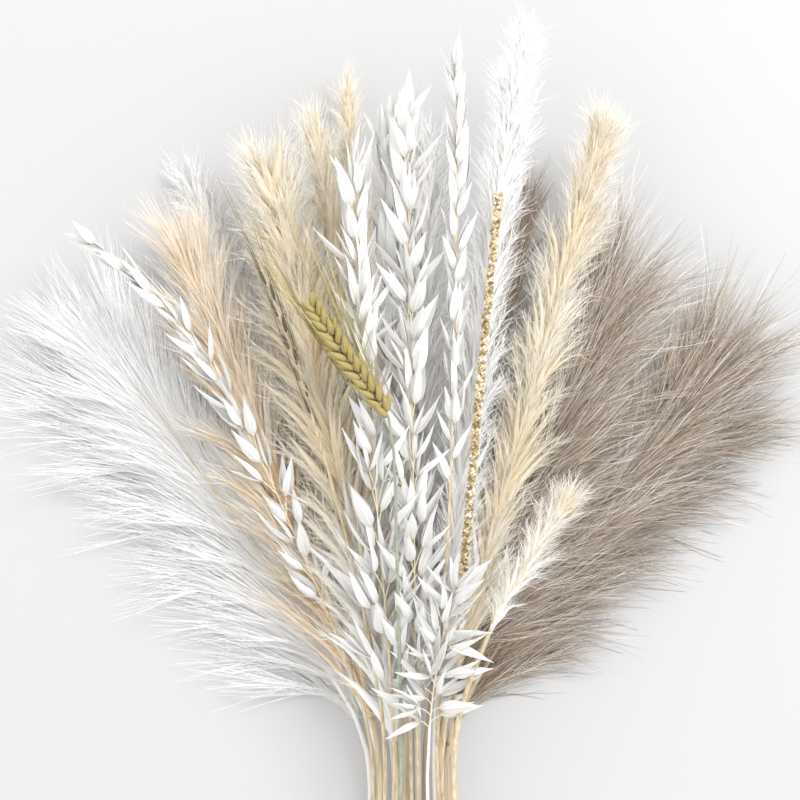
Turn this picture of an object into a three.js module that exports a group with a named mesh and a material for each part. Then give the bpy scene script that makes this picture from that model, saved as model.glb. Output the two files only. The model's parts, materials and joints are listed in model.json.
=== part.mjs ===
// A bundle of dried grasses laid down on a table: pampas plumes, feather-grass plumes,
// oats, a bearded wheat ear, a dark bearded ear and a glittered reed, gathered at one place.
// Millimetres. +Y runs from the cut ends to the tips, +X is across the fan, +Z is up.
import * as THREE from "three";

// ---- Driving dimensions -------------------------------------------------------------

const STEM_BELOW = 116; // from the gathering place down to the longest cut end
const CUT_STAGGER = 24; // how much shorter the shortest stem is
const FOOT_SPLAY = 0.5; // how much wider the stems stand at the cut ends, as a share
const FAN = 1; // 1 is a fully opened fan, and 0 has every stalk straight
const BEND_HALF = 34; // half of the length over which a stem bends from straight to leaning
const NECK_HALF = 8; // half of the length over which a stalk bends over right under its head
const STEM_DIAMETER = 4.4; // the thickest stems
const STEM_GAP = 0.8; // air between the rows of stems at the gathering place
const LAYER_GAP = 0.8; // air between one layer of heads and the next
const JOIN_GAP = 0.3; // air between the top of a stem and the base of its head
const RISE_FROM = -90; // where the rows of stems start to open up into layers, along +Y
const RISE_TO = 190; // where the layers have their full depth
const NOD_POWER = 6; // how late a nodding tip turns over
const PRESSED = 0.78; // the table presses the lowest layer flat at this share of its half depth

// The heads lie on one another in layers. These are the full depths of the layers, lowest first.
const LAYER_DEPTHS = [14, 12, 13, 18, 14, 12, 13];

const WHITE = { color: 0xf3f1ee, roughness: 0.9 };
const CREAM = { color: 0xeeddb9, roughness: 0.9 };
const PEACH = { color: 0xecc795, roughness: 0.9 };
const TAUPE = { color: 0x94806a, roughness: 0.9 };
const OAT = { color: 0xf2efe9, roughness: 0.7 };
const STRAW = { color: 0xc9b58c, roughness: 0.6 };
const BLEACHED = { color: 0xe9e4da, roughness: 0.6 };
const GREEN_GOLD = { color: 0xa38d3e, roughness: 0.6 };
const DARK = { color: 0x5d4c3b, roughness: 0.8 };
const GOLD = { color: 0xb9985a, roughness: 0.45 };

// ---- The stalks ---------------------------------------------------------------------
// layer: where the head lies, 0 on the table. seat: place across the gathered stems.
// lean: degrees from +Y. bow: how far the tip drifts sideways in one even curve. nod: how
// far it turns over at its very end. neck: degrees that the head is bent over at its base.
// base: from the gathering place up to the head.
// head: the head's length along +Y. left and right: half widths of the head. depth: share
// of the layer's depth.

const STALKS = [
  { name: "white_feather_low", form: "feather", look: WHITE, stem: BLEACHED, layer: 0,
    seat: -17, lean: -34.6, bow: -40, base: 33, head: 200, left: 58, right: 32 },
  { name: "white_pampas_back", form: "plume", look: WHITE, stem: BLEACHED, layer: 0,
    seat: -6, lean: -18.5, bow: -12, base: 74, head: 222, left: 14, right: 14 },
  { name: "white_pampas_middle", form: "plume", look: WHITE, stem: BLEACHED, layer: 0,
    seat: 4, lean: 1.2, bow: 0, base: 111, head: 203, left: 11, right: 11 },
  { name: "taupe_feather_low", form: "feather", look: TAUPE, stem: STRAW, layer: 0,
    seat: 17, lean: 29, bow: 76, base: 33, head: 178, left: 32, right: 54 },

  { name: "white_feather_high", form: "feather", look: WHITE, stem: BLEACHED, layer: 1,
    seat: -12, lean: -31.4, bow: -26, base: 44, head: 208, left: 36, right: 36 },
  { name: "cream_pampas_thin", form: "plume", look: CREAM, stem: STRAW, layer: 1,
    seat: -2, lean: -5, bow: -2, base: 133, head: 200, left: 8, right: 8 },
  { name: "taupe_feather_narrow", form: "plume", look: TAUPE, stem: STRAW, layer: 1,
    seat: 7, lean: 10.6, bow: 2, base: 44, head: 237, left: 10, right: 10 },
  { name: "taupe_feather_middle", form: "feather", look: TAUPE, stem: STRAW, layer: 1,
    seat: 15, lean: 31.8, bow: 29, base: 48, head: 196, left: 32, right: 36 },

  { name: "peach_pampas", form: "feather", look: PEACH, stem: STRAW, layer: 2,
    seat: -13, lean: -21, bow: -6, base: 52, head: 203, left: 24, right: 24 },
  { name: "cream_pampas_slim", form: "plume", look: CREAM, stem: STRAW, layer: 2,
    seat: -3, lean: -7.8, bow: -2, base: 111, head: 207, left: 10, right: 10 },
  { name: "taupe_feather_high", form: "feather", look: TAUPE, stem: STRAW, layer: 2,
    seat: 12, lean: 19.2, bow: 14, base: 59, head: 226, left: 27, right: 32 },

  { name: "oats_left", form: "spindle", look: OAT, stem: STRAW, layer: 3,
    seat: -16, lean: -20.8, bow: -6, nod: -48, base: 59, head: 200, left: 9, right: 8 },
  { name: "cream_pampas_full", form: "plume", look: CREAM, stem: STRAW, layer: 3,
    seat: -6, lean: -11.3, bow: -8, base: 37, head: 266, left: 20, right: 20 },
  { name: "cream_pampas_right", form: "plume", look: CREAM, stem: STRAW, layer: 3,
    seat: 14, lean: 14.6, bow: 3, base: 74, head: 248, left: 15, right: 17 },

  { name: "dark_bearded_ear", form: "bearded", look: DARK, stem: STRAW, layer: 4,
    seat: -11, lean: -8.4, bow: -46, base: 163, head: 144, left: 6, right: 6 },
  { name: "oats_back", form: "spindle", look: OAT, stem: STRAW, layer: 4,
    seat: 1, lean: -2.6, bow: 0, base: 74, head: 237, left: 9, right: 9 },
  { name: "white_pampas_tall", form: "plume", look: WHITE, stem: BLEACHED, layer: 4,
    seat: 12, lean: 5.2, bow: 14, base: 74, head: 296, left: 14, right: 14 },

  { name: "oats_front_left", form: "spindle", look: OAT, stem: STRAW, layer: 5,
    seat: -7, lean: -4.2, bow: 0, base: 52, head: 237, left: 8, right: 6 },
  { name: "oats_front_right", form: "spindle", look: OAT, stem: STRAW, layer: 5,
    seat: 4, lean: -1, bow: 0, base: 37, head: 281, left: 6, right: 6 },
  { name: "oats_tall", form: "spindle", look: OAT, stem: STRAW, layer: 5,
    seat: 13, lean: 4, bow: -14, base: 126, head: 218, left: 6, right: 6 },
  { name: "gold_reed", form: "rod", look: GOLD, stem: STRAW, layer: 5,
    seat: 20, lean: 4.2, bow: 4, base: 81, head: 193, left: 2.4, right: 2.4, depth: 0.4 },

  { name: "wheat_ear", form: "bearded", look: GREEN_GOLD, stem: STRAW, layer: 6,
    seat: -4, lean: -1.1, bow: -4, nod: 24, neck: -38, base: 163, head: 107, left: 8, right: 8 },
  { name: "oats_low", form: "spindle", look: OAT, stem: BLEACHED, layer: 6,
    seat: 8, lean: 9, bow: 2, base: 7, head: 74, left: 10, right: 12 },
  { name: "cream_pampas_small", form: "plume", look: CREAM, stem: STRAW, layer: 6,
    seat: 20, lean: 14, bow: 36, base: 56, head: 85, left: 8, right: 8 },
];

// ---- Heights of the layers ----------------------------------------------------------

// At the gathering place the stems lie in rows. From there each row opens up into a layer.
const ROW_PITCH = STEM_DIAMETER + STEM_GAP;
const rowHeight = (layer) => STEM_DIAMETER / 2 + layer * ROW_PITCH;

// The lowest layer is pressed flat underneath, so its middle lies lower than half its depth.
const fullHeight = (layer) => {
  const lowest = (LAYER_DEPTHS[0] / 2) * PRESSED;
  const below = LAYER_DEPTHS.slice(0, layer).reduce((sum, depth) => sum + depth + LAYER_GAP, 0);
  return lowest + below + (LAYER_DEPTHS[layer] - LAYER_DEPTHS[0]) / 2;
};

const riseAt = (y) => THREE.MathUtils.smoothstep(y, RISE_FROM, RISE_TO);
const heightAt = (layer, y) =>
  THREE.MathUtils.lerp(rowHeight(layer), fullHeight(layer), riseAt(y));
const layerDepthAt = (layer, y) =>
  THREE.MathUtils.lerp(STEM_DIAMETER, LAYER_DEPTHS[layer], riseAt(y));

// ---- The line of a stalk ------------------------------------------------------------

// Nothing before a bend at 0, the full distance after it, and a round passage between.
const bentDistance = (y, half) => {
  if (y <= -half) return 0;
  return y >= half ? y : (y + half) ** 2 / (4 * half);
};
const slopeOf = (degrees) => Math.tan(THREE.MathUtils.degToRad(degrees));

const pointAt = (stalk, y) => {
  const share = Math.max(0, y) / (stalk.base + stalk.head);
  const lean = slopeOf(stalk.lean) * bentDistance(y, BEND_HALF);
  const bent = slopeOf(stalk.neck ?? 0) * bentDistance(y - stalk.base, NECK_HALF);
  const drift = stalk.bow * share ** 2 + (stalk.nod ?? 0) * share ** NOD_POWER;
  const seat = stalk.seat * (1 + (FOOT_SPLAY * Math.max(0, -y)) / STEM_BELOW);
  return new THREE.Vector3(seat + (lean + bent + drift) * FAN, y, heightAt(stalk.layer, y));
};

const TANGENT_STEP = 0.5;
const acrossAt = (stalk, y) => {
  const ahead = pointAt(stalk, y + TANGENT_STEP).sub(pointAt(stalk, y - TANGENT_STEP));
  return new THREE.Vector3(ahead.y, -ahead.x, 0).normalize();
};

// Lays a shape that runs along +Y from 0 to 1 onto a stretch of a stalk. Its x is measured
// in half widths, and its z in half depths, which may change along the stalk.
const layAlong = (shape, stalk, from, to, left, right, halfDepthAt) => {
  const spots = shape.attributes.position;
  for (let i = 0; i < spots.count; i += 1) {
    const y = THREE.MathUtils.lerp(from, to, spots.getY(i));
    const half = spots.getX(i) < 0 ? left : right;
    const spot = pointAt(stalk, y).addScaledVector(acrossAt(stalk, y), spots.getX(i) * half);
    const height = Math.max(0, spot.z + spots.getZ(i) * halfDepthAt(y));
    spots.setXYZ(i, spot.x, spot.y, height);
  }
  shape.computeVertexNormals();
};

// ---- Heads --------------------------------------------------------------------------

// The half width at each share of a head's length, 1 at the widest.
const OUTLINES = {
  feather: (t) => Math.sin(Math.PI * t ** 1.1) ** 0.75, // long hairs, broad to the tip
  plume: (t) => Math.sin(Math.PI * t ** 0.85) ** 0.6, // a full brush
  spindle: (t) => Math.sin(Math.PI * t ** 0.8) ** 0.6, // oats on short branches
  rod: (t) => Math.min(1, Math.sin(Math.PI * t) * 4), // the same all the way
  bearded: (t) => 0.55 * Math.sin(Math.PI * Math.min(1, t * 1.9)) + 0.45 * Math.sin(Math.PI * t),
};
const OUTLINE_STEPS = { feather: 11, plume: 10, spindle: 9, rod: 10, bearded: 12 };
const OUTLINE_SIDES = { feather: 12, plume: 10, spindle: 8, rod: 6, bearded: 8 };

const headShape = (form) => {
  const steps = OUTLINE_STEPS[form];
  const outline = [new THREE.Vector2(0, 0)];
  for (let i = 1; i < steps; i += 1) {
    outline.push(new THREE.Vector2(OUTLINES[form](i / steps), i / steps));
  }
  outline.push(new THREE.Vector2(0, 1));
  return new THREE.LatheGeometry(outline, OUTLINE_SIDES[form]);
};

// ---- Stems --------------------------------------------------------------------------

const STEM_SIDES = 6;
const STEM_STEP = 24; // the length of one straight facet of a bent stem
const THIN_STEMS = { spindle: 0.6, rod: 0.7, bearded: 0.6 }; // as shares of STEM_DIAMETER

const stemShape = (length) => {
  const steps = Math.max(4, Math.ceil(length / STEM_STEP));
  return new THREE.CylinderGeometry(1, 1, 1, STEM_SIDES, steps).translate(0, 0.5, 0);
};

// ---- The bundle ---------------------------------------------------------------------

const group = new THREE.Group();

const addSolid = (name, shape, look) => {
  const mesh = new THREE.Mesh(shape, new THREE.MeshStandardMaterial({ ...look, metalness: 0 }));
  mesh.name = name;
  group.add(mesh);
};

const STAGGER_STEPS = 5; // the stems end at this many different places, mixed by a stride
const STAGGER_STRIDE = 3;

STALKS.forEach((stalk, place) => {
  const stagger = ((place * STAGGER_STRIDE) % STAGGER_STEPS) / (STAGGER_STEPS - 1);
  const cut = -STEM_BELOW + stagger * CUT_STAGGER;
  const radius = (STEM_DIAMETER / 2) * (THIN_STEMS[stalk.form] ?? 1);
  const stem = stemShape(stalk.base - cut);
  layAlong(stem, stalk, cut, stalk.base - JOIN_GAP, radius, radius, () => radius);
  addSolid(`${stalk.name}_stem`, stem, stalk.stem);

  const head = headShape(stalk.form);
  const tip = stalk.base + stalk.head;
  const halfDepthAt = (y) => (layerDepthAt(stalk.layer, y) / 2) * (stalk.depth ?? 1);
  layAlong(head, stalk, stalk.base, tip, stalk.left * FAN, stalk.right * FAN, halfDepthAt);
  addSolid(stalk.name, head, stalk.look);
});

// The origin is under the middle of the bundle, on the table.
const box = new THREE.Box3().setFromObject(group);
const middle = box.getCenter(new THREE.Vector3());
group.position.set(-middle.x, -middle.y, -box.min.z);

export default group;
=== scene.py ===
# %% [markdown]
# # A bundle of dried grasses
# This lesson grows a bunch of feather grass, pampas plumes, oats, wheat, a dark bearded ear and a
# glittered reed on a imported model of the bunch. The model gives one plain solid for each head and
# one for each stem, and they say where everything lies. The lesson draws hairs, husks, kernels and
# straws there, and each drawn piece then stands for its plain solid.

# %% Load the model
import json
import math

import bmesh
import bpy
import numpy as np
from mathutils import Matrix, Vector


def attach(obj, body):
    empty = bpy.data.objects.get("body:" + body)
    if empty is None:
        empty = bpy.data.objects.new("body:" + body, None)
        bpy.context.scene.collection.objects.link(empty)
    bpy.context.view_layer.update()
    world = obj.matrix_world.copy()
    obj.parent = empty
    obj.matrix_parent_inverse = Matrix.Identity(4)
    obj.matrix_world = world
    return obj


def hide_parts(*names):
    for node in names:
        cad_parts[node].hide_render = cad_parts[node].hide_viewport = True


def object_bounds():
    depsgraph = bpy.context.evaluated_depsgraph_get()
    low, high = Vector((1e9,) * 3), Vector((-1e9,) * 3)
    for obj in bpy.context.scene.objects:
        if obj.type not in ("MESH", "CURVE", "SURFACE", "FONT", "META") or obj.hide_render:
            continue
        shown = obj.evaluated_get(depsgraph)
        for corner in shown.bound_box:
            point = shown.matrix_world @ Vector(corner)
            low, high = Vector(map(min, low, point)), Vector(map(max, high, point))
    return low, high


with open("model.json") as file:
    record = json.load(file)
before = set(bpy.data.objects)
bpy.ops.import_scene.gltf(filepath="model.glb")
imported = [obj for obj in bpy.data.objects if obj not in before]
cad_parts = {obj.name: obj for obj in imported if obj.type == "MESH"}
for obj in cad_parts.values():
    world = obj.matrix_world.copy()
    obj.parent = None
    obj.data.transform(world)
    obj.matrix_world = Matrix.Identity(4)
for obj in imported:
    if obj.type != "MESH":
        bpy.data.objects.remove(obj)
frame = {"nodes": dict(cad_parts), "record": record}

MODEL_BOX = [[float(v) for v in corner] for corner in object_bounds()]
LOW, HIGH = np.array(MODEL_BOX[0]), np.array(MODEL_BOX[1])
SLOTS = {part["node"]: part["material_slot"] for part in frame["record"]["subparts"]}
MM = 0.001
print("model box, mm:", np.round((HIGH - LOW) / MM))

# %% [markdown]
# The stalks all pass through one gathering place. Below it the stems run to their cut ends, and
# above it they fan out. The stems reach 116 mm below that place, so it is found from the box.

# %% The gathering place
STEM_BELOW = 116 * MM
GATHER_Y = LOW[1] + STEM_BELOW
HEADS = [node[:-5] for node in frame["nodes"] if node.endswith("_stem")]
print(len(HEADS), "stalks, gathered at y =", round(GATHER_Y, 4))

# %% [markdown]
# The bunch lies on a table, and the camera looks straight down at it. A long lens from far away
# keeps the high plumes and the low ones at one scale.

# %% Camera
VIEW_WIDTH = 400 * MM
VIEW_LEVEL = 50 * MM
CAMERA_HEIGHT = 2.4
SENSOR = 36.0
FROM_LEFT, PAST_GATHER = 213 * MM, 172 * MM
VIEW_MIDDLE = Vector((LOW[0] + FROM_LEFT, GATHER_Y + PAST_GATHER, 0))

camera_data = bpy.data.cameras.new("camera")
camera_data.sensor_width = SENSOR
camera_data.lens = SENSOR * (CAMERA_HEIGHT - VIEW_LEVEL) / VIEW_WIDTH
camera = bpy.data.objects.new("camera", camera_data)
camera.location = VIEW_MIDDLE + Vector((0, 0, CAMERA_HEIGHT))
bpy.context.scene.collection.objects.link(camera)
bpy.context.scene.camera = camera
print("lens, mm:", round(camera_data.lens))

# %% [markdown]
# The table is a plain pale sheet. The light is a bright even sky with one large soft lamp at the
# upper right, so a soft shadow falls to the lower left. The sheet is a light grey under strong
# light: it shows as nearly white, and white hairs, which shade one another, stay white too. The
# colours are shown without a film curve, because a film curve would turn the white plumes grey.
# A small lift of the middle tones stands for the light that real hair lets through.

# %% Table and light
FLOOR_SIZE = 6.0
FLOOR_COLOUR = (0.56, 0.56, 0.565)
FLOOR_ROUGHNESS = 0.75
SKY = 1.19
LAMP_POWER = 32.0
LAMP_SIZE = 1.0
LIFT = 1.14
LAMP_FROM = Vector((1.0, 1.1, 1.7))

table_shape = bmesh.new()
bmesh.ops.create_grid(table_shape, x_segments=1, y_segments=1, size=FLOOR_SIZE / 2)
table_mesh = bpy.data.meshes.new("table")
table_shape.to_mesh(table_mesh)
table_shape.free()
table_paint = bpy.data.materials.new("table_paint")
table_paint.use_nodes = True
table_shader = table_paint.node_tree.nodes["Principled BSDF"]
table_shader.inputs["Base Color"].default_value = (*FLOOR_COLOUR, 1)
table_shader.inputs["Roughness"].default_value = FLOOR_ROUGHNESS
table_mesh.materials.append(table_paint)
table = bpy.data.objects.new("table", table_mesh)
bpy.context.scene.collection.objects.link(table)

lamp_data = bpy.data.lights.new("window", "AREA")
lamp_data.energy = LAMP_POWER
lamp_data.size = LAMP_SIZE
lamp = bpy.data.objects.new("window", lamp_data)
lamp.location = VIEW_MIDDLE + LAMP_FROM
lamp.rotation_euler = (-LAMP_FROM).to_track_quat("-Z", "Y").to_euler()
bpy.context.scene.collection.objects.link(lamp)

sky = bpy.data.worlds.new("sky")
sky.use_nodes = True
sky_light = sky.node_tree.nodes["Background"]
sky_light.inputs["Color"].default_value = (1, 1, 1, 1)
sky_light.inputs["Strength"].default_value = SKY
bpy.context.scene.world = sky
bpy.context.scene.view_settings.view_transform = "Standard"
bpy.context.scene.view_settings.gamma = LIFT
print("sky", SKY, "lamp", LAMP_POWER)

# %% [markdown]
# Each stem is a bent tube of rings in the model. The middle of each ring is a point of its line,
# so sorting the tube's corners along Y and averaging them ring by ring gives the line back.
# Inside the head the line leaves the stem in the same direction and ends at the head's tip.
# That direction is read from the last two spans of the stem. The wheat ear is the one that breaks
# over at its neck, so its head starts with a slope of its own, and the break is eased a little.

# %% Read the line of a stalk
RISE_FROM, RISE_TO = -90 * MM, 190 * MM
BEND = 2
NODDING = {"oats_left": 4.5, "wheat_ear": 2.7}
NECKS = {"wheat_ear": -0.76}
NECK_EASE = 3 * MM
RING_STEP = 4 * MM
PROBE = 2 * MM


def corners(node):
    """The corners of a model piece, sorted along Y."""
    mesh = frame["nodes"][node].data
    spots = np.empty(len(mesh.vertices) * 3)
    mesh.vertices.foreach_get("co", spots)
    spots = spots.reshape(-1, 3)
    return spots[np.argsort(spots[:, 1])]


def smooth(share):
    share = np.clip(share, 0, 1)
    return share * share * (3 - 2 * share)


def rise(y):
    """How much of its climb a head has made at y."""
    return smooth((y - GATHER_Y - RISE_FROM) / (RISE_TO - RISE_FROM))


def unit(v):
    return v / np.maximum(np.linalg.norm(v, axis=-1, keepdims=True), 1e-12)


class Stalk:
    """The line of one stalk: rings of its stem, then a curve from the stem's end to the tip."""

    def __init__(self, name):
        self.name = name
        stem = corners(name + "_stem")
        breaks = np.flatnonzero(np.diff(stem[:, 1]) > RING_STEP) + 1
        self.rings = np.array([ring.mean(axis=0) for ring in np.split(stem, breaks)])
        self.radius = np.ptp(stem[: breaks[0], 2]) / 2
        self.cut, self.base, self.tip = self.rings[0], self.rings[-1], corners(name)[-1]
        last = self.rings[-1] - self.rings[-2]
        before = self.rings[-2] - self.rings[-3]
        self.slope = (1.5 * last[0] - 0.5 * before[0] * last[1] / before[1]) / last[1]
        self.slope = NECKS.get(name, self.slope)
        self.head = self.tip[1] - self.base[1]
        self.drift = self.tip[0] - self.base[0] - self.slope * self.head
        self.power = NODDING.get(name, BEND)
        self.climb = (self.tip[2] - self.base[2]) / (rise(self.tip[1]) - rise(self.base[1]))

    def at(self, y):
        """The point of the line at each height y, and beyond the tip on the same curve."""
        if self.name not in NECKS:
            return self.raw(y)
        return np.mean([self.raw(y + k * NECK_EASE) for k in (-2, -1, 0, 1, 2)], axis=0)

    def raw(self, y):
        """The line without the easing."""
        y = np.asarray(y, float)
        up = y - self.base[1]
        share = np.clip(up / self.head, 0, None)
        head_x = self.base[0] + self.slope * up + self.drift * share ** self.power
        head_z = self.base[2] + self.climb * (rise(y) - rise(self.base[1]))
        ys, in_head = self.rings[:, 1], up > 0
        x = np.where(in_head, head_x, np.interp(y, ys, self.rings[:, 0]))
        z = np.where(in_head, head_z, np.interp(y, ys, self.rings[:, 2]))
        return np.stack([x, y, z], axis=-1)

    def frame_at(self, y):
        """The line's direction at y, the direction across the fan, and the one upwards."""
        along = unit(self.at(y + PROBE) - self.at(y - PROBE))
        across = unit(np.stack([along[..., 1], -along[..., 0], 0 * along[..., 0]], axis=-1))
        return along, across, np.cross(across, along)

    def head_y(self, share):
        return self.base[1] + share * self.head


STALKS = {name: Stalk(name) for name in HEADS}
print("longest head, mm:", round(max(stalk.head for stalk in STALKS.values()) / MM))

# %% [markdown]
# A hair is a long thin cone. Blender's curve object draws it: a row of points, a radius at each,
# and a three-cornered outline swept along it. Thousands of hairs fit in one curve object as
# separate splines. Turned into a mesh, the end caps come first and then the rings in the order
# of the points, so each corner's place along its hair is known.

# %% Sweep an outline along many lines
HAIR_SIDES, CORE_SIDES, STRAW_SIDES = 3, 6, 10
FLOOR_GAP = 0.1 * MM
WELD = 1e-7


def outline(sides):
    ring = bpy.data.curves.new("outline", "CURVE")
    spline = ring.splines.new("POLY")
    spline.points.add(sides - 1)
    for i in range(sides):
        turn = 2 * math.pi * i / sides
        spline.points[i].co = (math.cos(turn), math.sin(turn), 0, 1)
    spline.use_cyclic_u = True
    return bpy.data.objects.new("outline", ring)


OUTLINES = {sides: outline(sides) for sides in (HAIR_SIDES, CORE_SIDES, STRAW_SIDES)}


def sweep(name, lines, radii, sides):
    """A mesh of closed tapered tubes. lines is tubes x places x 3 and radii tubes x places."""
    tubes, places, _ = lines.shape
    radii = np.broadcast_to(radii, (tubes, places))
    lines = lines.copy()
    lines[..., 2] = np.maximum(lines[..., 2], radii + FLOOR_GAP)
    curve = bpy.data.curves.new(name, "CURVE")
    curve.dimensions = "3D"
    curve.bevel_mode = "OBJECT"
    curve.bevel_object = OUTLINES[sides]
    curve.use_fill_caps = True
    curve.twist_mode = "Z_UP"
    points = np.concatenate([lines, np.ones((tubes, places, 1))], axis=2)
    for tube in range(tubes):
        spline = curve.splines.new("POLY")
        spline.points.add(places - 1)
        spline.points.foreach_set("co", points[tube].ravel())
        spline.points.foreach_set("radius", radii[tube])
    drawn = bpy.data.objects.new(name, curve)
    bpy.context.scene.collection.objects.link(drawn)
    bpy.context.view_layer.update()
    mesh = bpy.data.meshes.new_from_object(drawn.evaluated_get(bpy.context.evaluated_depsgraph_get()))
    mesh.name = name
    bpy.data.objects.remove(drawn)
    bpy.data.curves.remove(curve)
    return mesh


def tube_places(corner, tubes, places, sides):
    """For each corner number of a swept mesh: its tube, its place on the line and its side."""
    ring = corner - 2 * sides * tubes
    in_cap = ring < 0
    tube = np.where(in_cap, corner // (2 * sides), ring // (places * sides))
    far = corner % (2 * sides) >= sides
    place = np.where(in_cap, far * (places - 1), ring // sides % places)
    return tube, place, corner % sides


def weld(mesh):
    work = bmesh.new()
    work.from_mesh(mesh)
    bmesh.ops.remove_doubles(work, verts=work.verts, dist=WELD)
    work.to_mesh(mesh)
    work.free()


# %% [markdown]
# The material of a hair reads two numbers from its UV map: how far along the hair a spot is, and
# a tone that differs from hair to hair. The faces stay flat shaded. On a tube of three sides,
# smooth shading would bend the light so far that white hair would look grey.

# %% Hair meshes
UV = "OFBake"
TONE_FROM, TONE_SPAN, SIDE_SHIFT = 0.02, 0.94, 0.006
ALONG_FROM, ALONG_SPAN = 0.01, 0.98


def corner_numbers(mesh):
    numbers = np.empty(len(mesh.loops), dtype=np.int32)
    mesh.loops.foreach_get("vertex_index", numbers)
    return numbers


def write_uv(mesh, u, v):
    for layer in list(mesh.uv_layers):
        mesh.uv_layers.remove(layer)
    mesh.uv_layers.new(name=UV).data.foreach_set("uv", np.stack([u, v], axis=1).ravel())


def hair_mesh(name, lines, radii, tones, along, sides=HAIR_SIDES):
    """Closed hairs. tones has one number a hair; along, hairs x places, says how far out."""
    hairs, places, _ = lines.shape
    mesh = sweep(name, lines, radii, sides)
    hair, place, side = tube_places(corner_numbers(mesh), hairs, places, sides)
    along = np.clip(np.broadcast_to(along, (hairs, places)), 0, 1)
    u = TONE_FROM + TONE_SPAN * np.clip(tones, 0, 1)[hair] + side * SIDE_SHIFT
    write_uv(mesh, u, ALONG_FROM + ALONG_SPAN * along[hair, place])
    weld(mesh)
    round_enough = sides > HAIR_SIDES
    mesh.polygons.foreach_set("use_smooth", np.full(len(mesh.polygons), round_enough))
    return mesh


def piece(name, node, parts):
    """One object from meshes with their materials. It stands for the model's plain solid."""
    work = bmesh.new()
    for number, (mesh, material) in enumerate(parts):
        made = len(work.faces)
        work.from_mesh(mesh)
        work.faces.ensure_lookup_table()
        for face in work.faces[made:] if number else ():
            face.material_index = number
    joined = bpy.data.meshes.new(name)
    work.to_mesh(joined)
    work.free()
    for mesh, material in parts:
        joined.materials.append(material)
        bpy.data.meshes.remove(mesh)
    shown = bpy.data.objects.new(name, joined)
    bpy.context.scene.collection.objects.link(shown)
    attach(shown, "root")
    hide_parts(node)
    print(f"{name}: {len(joined.polygons)} faces")
    return shown


# %% [markdown]
# Hairs grow from a line at an angle and bend away from it. One step does this for all of them at
# once: each hair leans from the line's direction towards its own outward direction, and leans
# more as it goes.

# %% Growing
LEAN_EASE = 1.2


def grow(root, along, out, length, start, end, places):
    """Bent lines. start and end are the leans in degrees at the root and at the tip."""
    middle = (np.arange(places - 1) + 0.5) / (places - 1)
    lean = np.radians(start[:, None] + (end - start)[:, None] * middle ** LEAN_EASE)[..., None]
    step = np.cos(lean) * along[:, None] + np.sin(lean) * out[:, None]
    step = step * (length / (places - 1))[:, None, None]
    return np.concatenate([root[:, None], root[:, None] + np.cumsum(step, axis=1)], axis=1)


def on_line(lines, share):
    """The point and the direction at a share of each line."""
    spot = share * (lines.shape[1] - 1)
    low = np.minimum(spot.astype(int), lines.shape[1] - 2)
    which = np.arange(len(lines))
    a, b = lines[which, low], lines[which, low + 1]
    return a + (b - a) * (spot - low)[:, None], unit(b - a)


def around(along, turn):
    """A direction square to along, turned about it."""
    level = unit(np.stack([along[:, 1], -along[:, 0], 0 * along[:, 0]], axis=1))
    return np.cos(turn)[:, None] * level + np.sin(turn)[:, None] * np.cross(level, along)


def taper(places, root, tip, power=1.0):
    return root + (tip - root) * (np.arange(places) / (places - 1)) ** power


# %% [markdown]
# Hair colour runs from the root to the tip and changes a little from hair to hair. Two colour
# ramps do that, one for each direction of the UV map, and the second multiplies the first.
# Each plume has two materials of the same colours: one for its hairs, and one for the packed down
# inside, where a noise squeezed along the UV map draws fine streaks, so that it looks like hair too.
# The dark streaks are painted shade, the shade in the gaps between hairs.
# A weak sheen gives the soft glow that fine hair has along its edges.

# %% Hair materials
def add_ramp(tree, factor, stops):
    ramp = tree.nodes.new("ShaderNodeValToRGB")
    marks = ramp.color_ramp.elements
    while len(marks) < len(stops):
        marks.new(0.5)
    for mark, (place, colour) in zip(marks, stops):
        mark.position = place
        mark.color = (*colour, 1)
    tree.links.new(factor, ramp.inputs["Fac"])
    return ramp.outputs["Color"]


def multiply(tree, first, second):
    mix = tree.nodes.new("ShaderNodeMix")
    mix.data_type = "RGBA"
    mix.blend_type = "MULTIPLY"
    mix.inputs["Factor"].default_value = 1.0
    tree.links.new(first, mix.inputs[6])
    tree.links.new(second, mix.inputs[7])
    return mix.outputs[2]


def uv_of(tree):
    """The two numbers of the UV map: tone, and place along."""
    place = tree.nodes.new("ShaderNodeUVMap")
    place.uv_map = UV
    split = tree.nodes.new("ShaderNodeSeparateXYZ")
    tree.links.new(place.outputs["UV"], split.inputs[0])
    return split.outputs["X"], split.outputs["Y"]


def noise_on_uv(tree, scale, detail):
    """Noise stretched over the UV map."""
    place = tree.nodes.new("ShaderNodeUVMap")
    place.uv_map = UV
    stretch = tree.nodes.new("ShaderNodeMapping")
    stretch.inputs["Scale"].default_value = (*scale, 1)
    noise = tree.nodes.new("ShaderNodeTexNoise")
    noise.inputs["Scale"].default_value = 1.0
    noise.inputs["Detail"].default_value = detail
    tree.links.new(place.outputs["UV"], stretch.inputs["Vector"])
    tree.links.new(stretch.outputs["Vector"], noise.inputs["Vector"])
    return noise.outputs["Fac"]


def add_bump(tree, height, shader, strength, distance):
    bump = tree.nodes.new("ShaderNodeBump")
    bump.inputs["Strength"].default_value = strength
    bump.inputs["Distance"].default_value = distance
    tree.links.new(height, bump.inputs["Height"])
    tree.links.new(bump.outputs["Normal"], shader.inputs["Normal"])


STREAKS = (800, 2.5)
STREAK_RELIEF = 0.3 * MM
# Painted shade: the grey end darkens the streaks that stand for the gaps between hairs.
PAINTED_GAP_SHADE = [(0.38, (0.62, 0.60, 0.56)), (0.56, (1, 1, 1))]
BLEACHED = (0.95, 0.95, 0.945)
HAIR_GLOSS = 0.35


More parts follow.
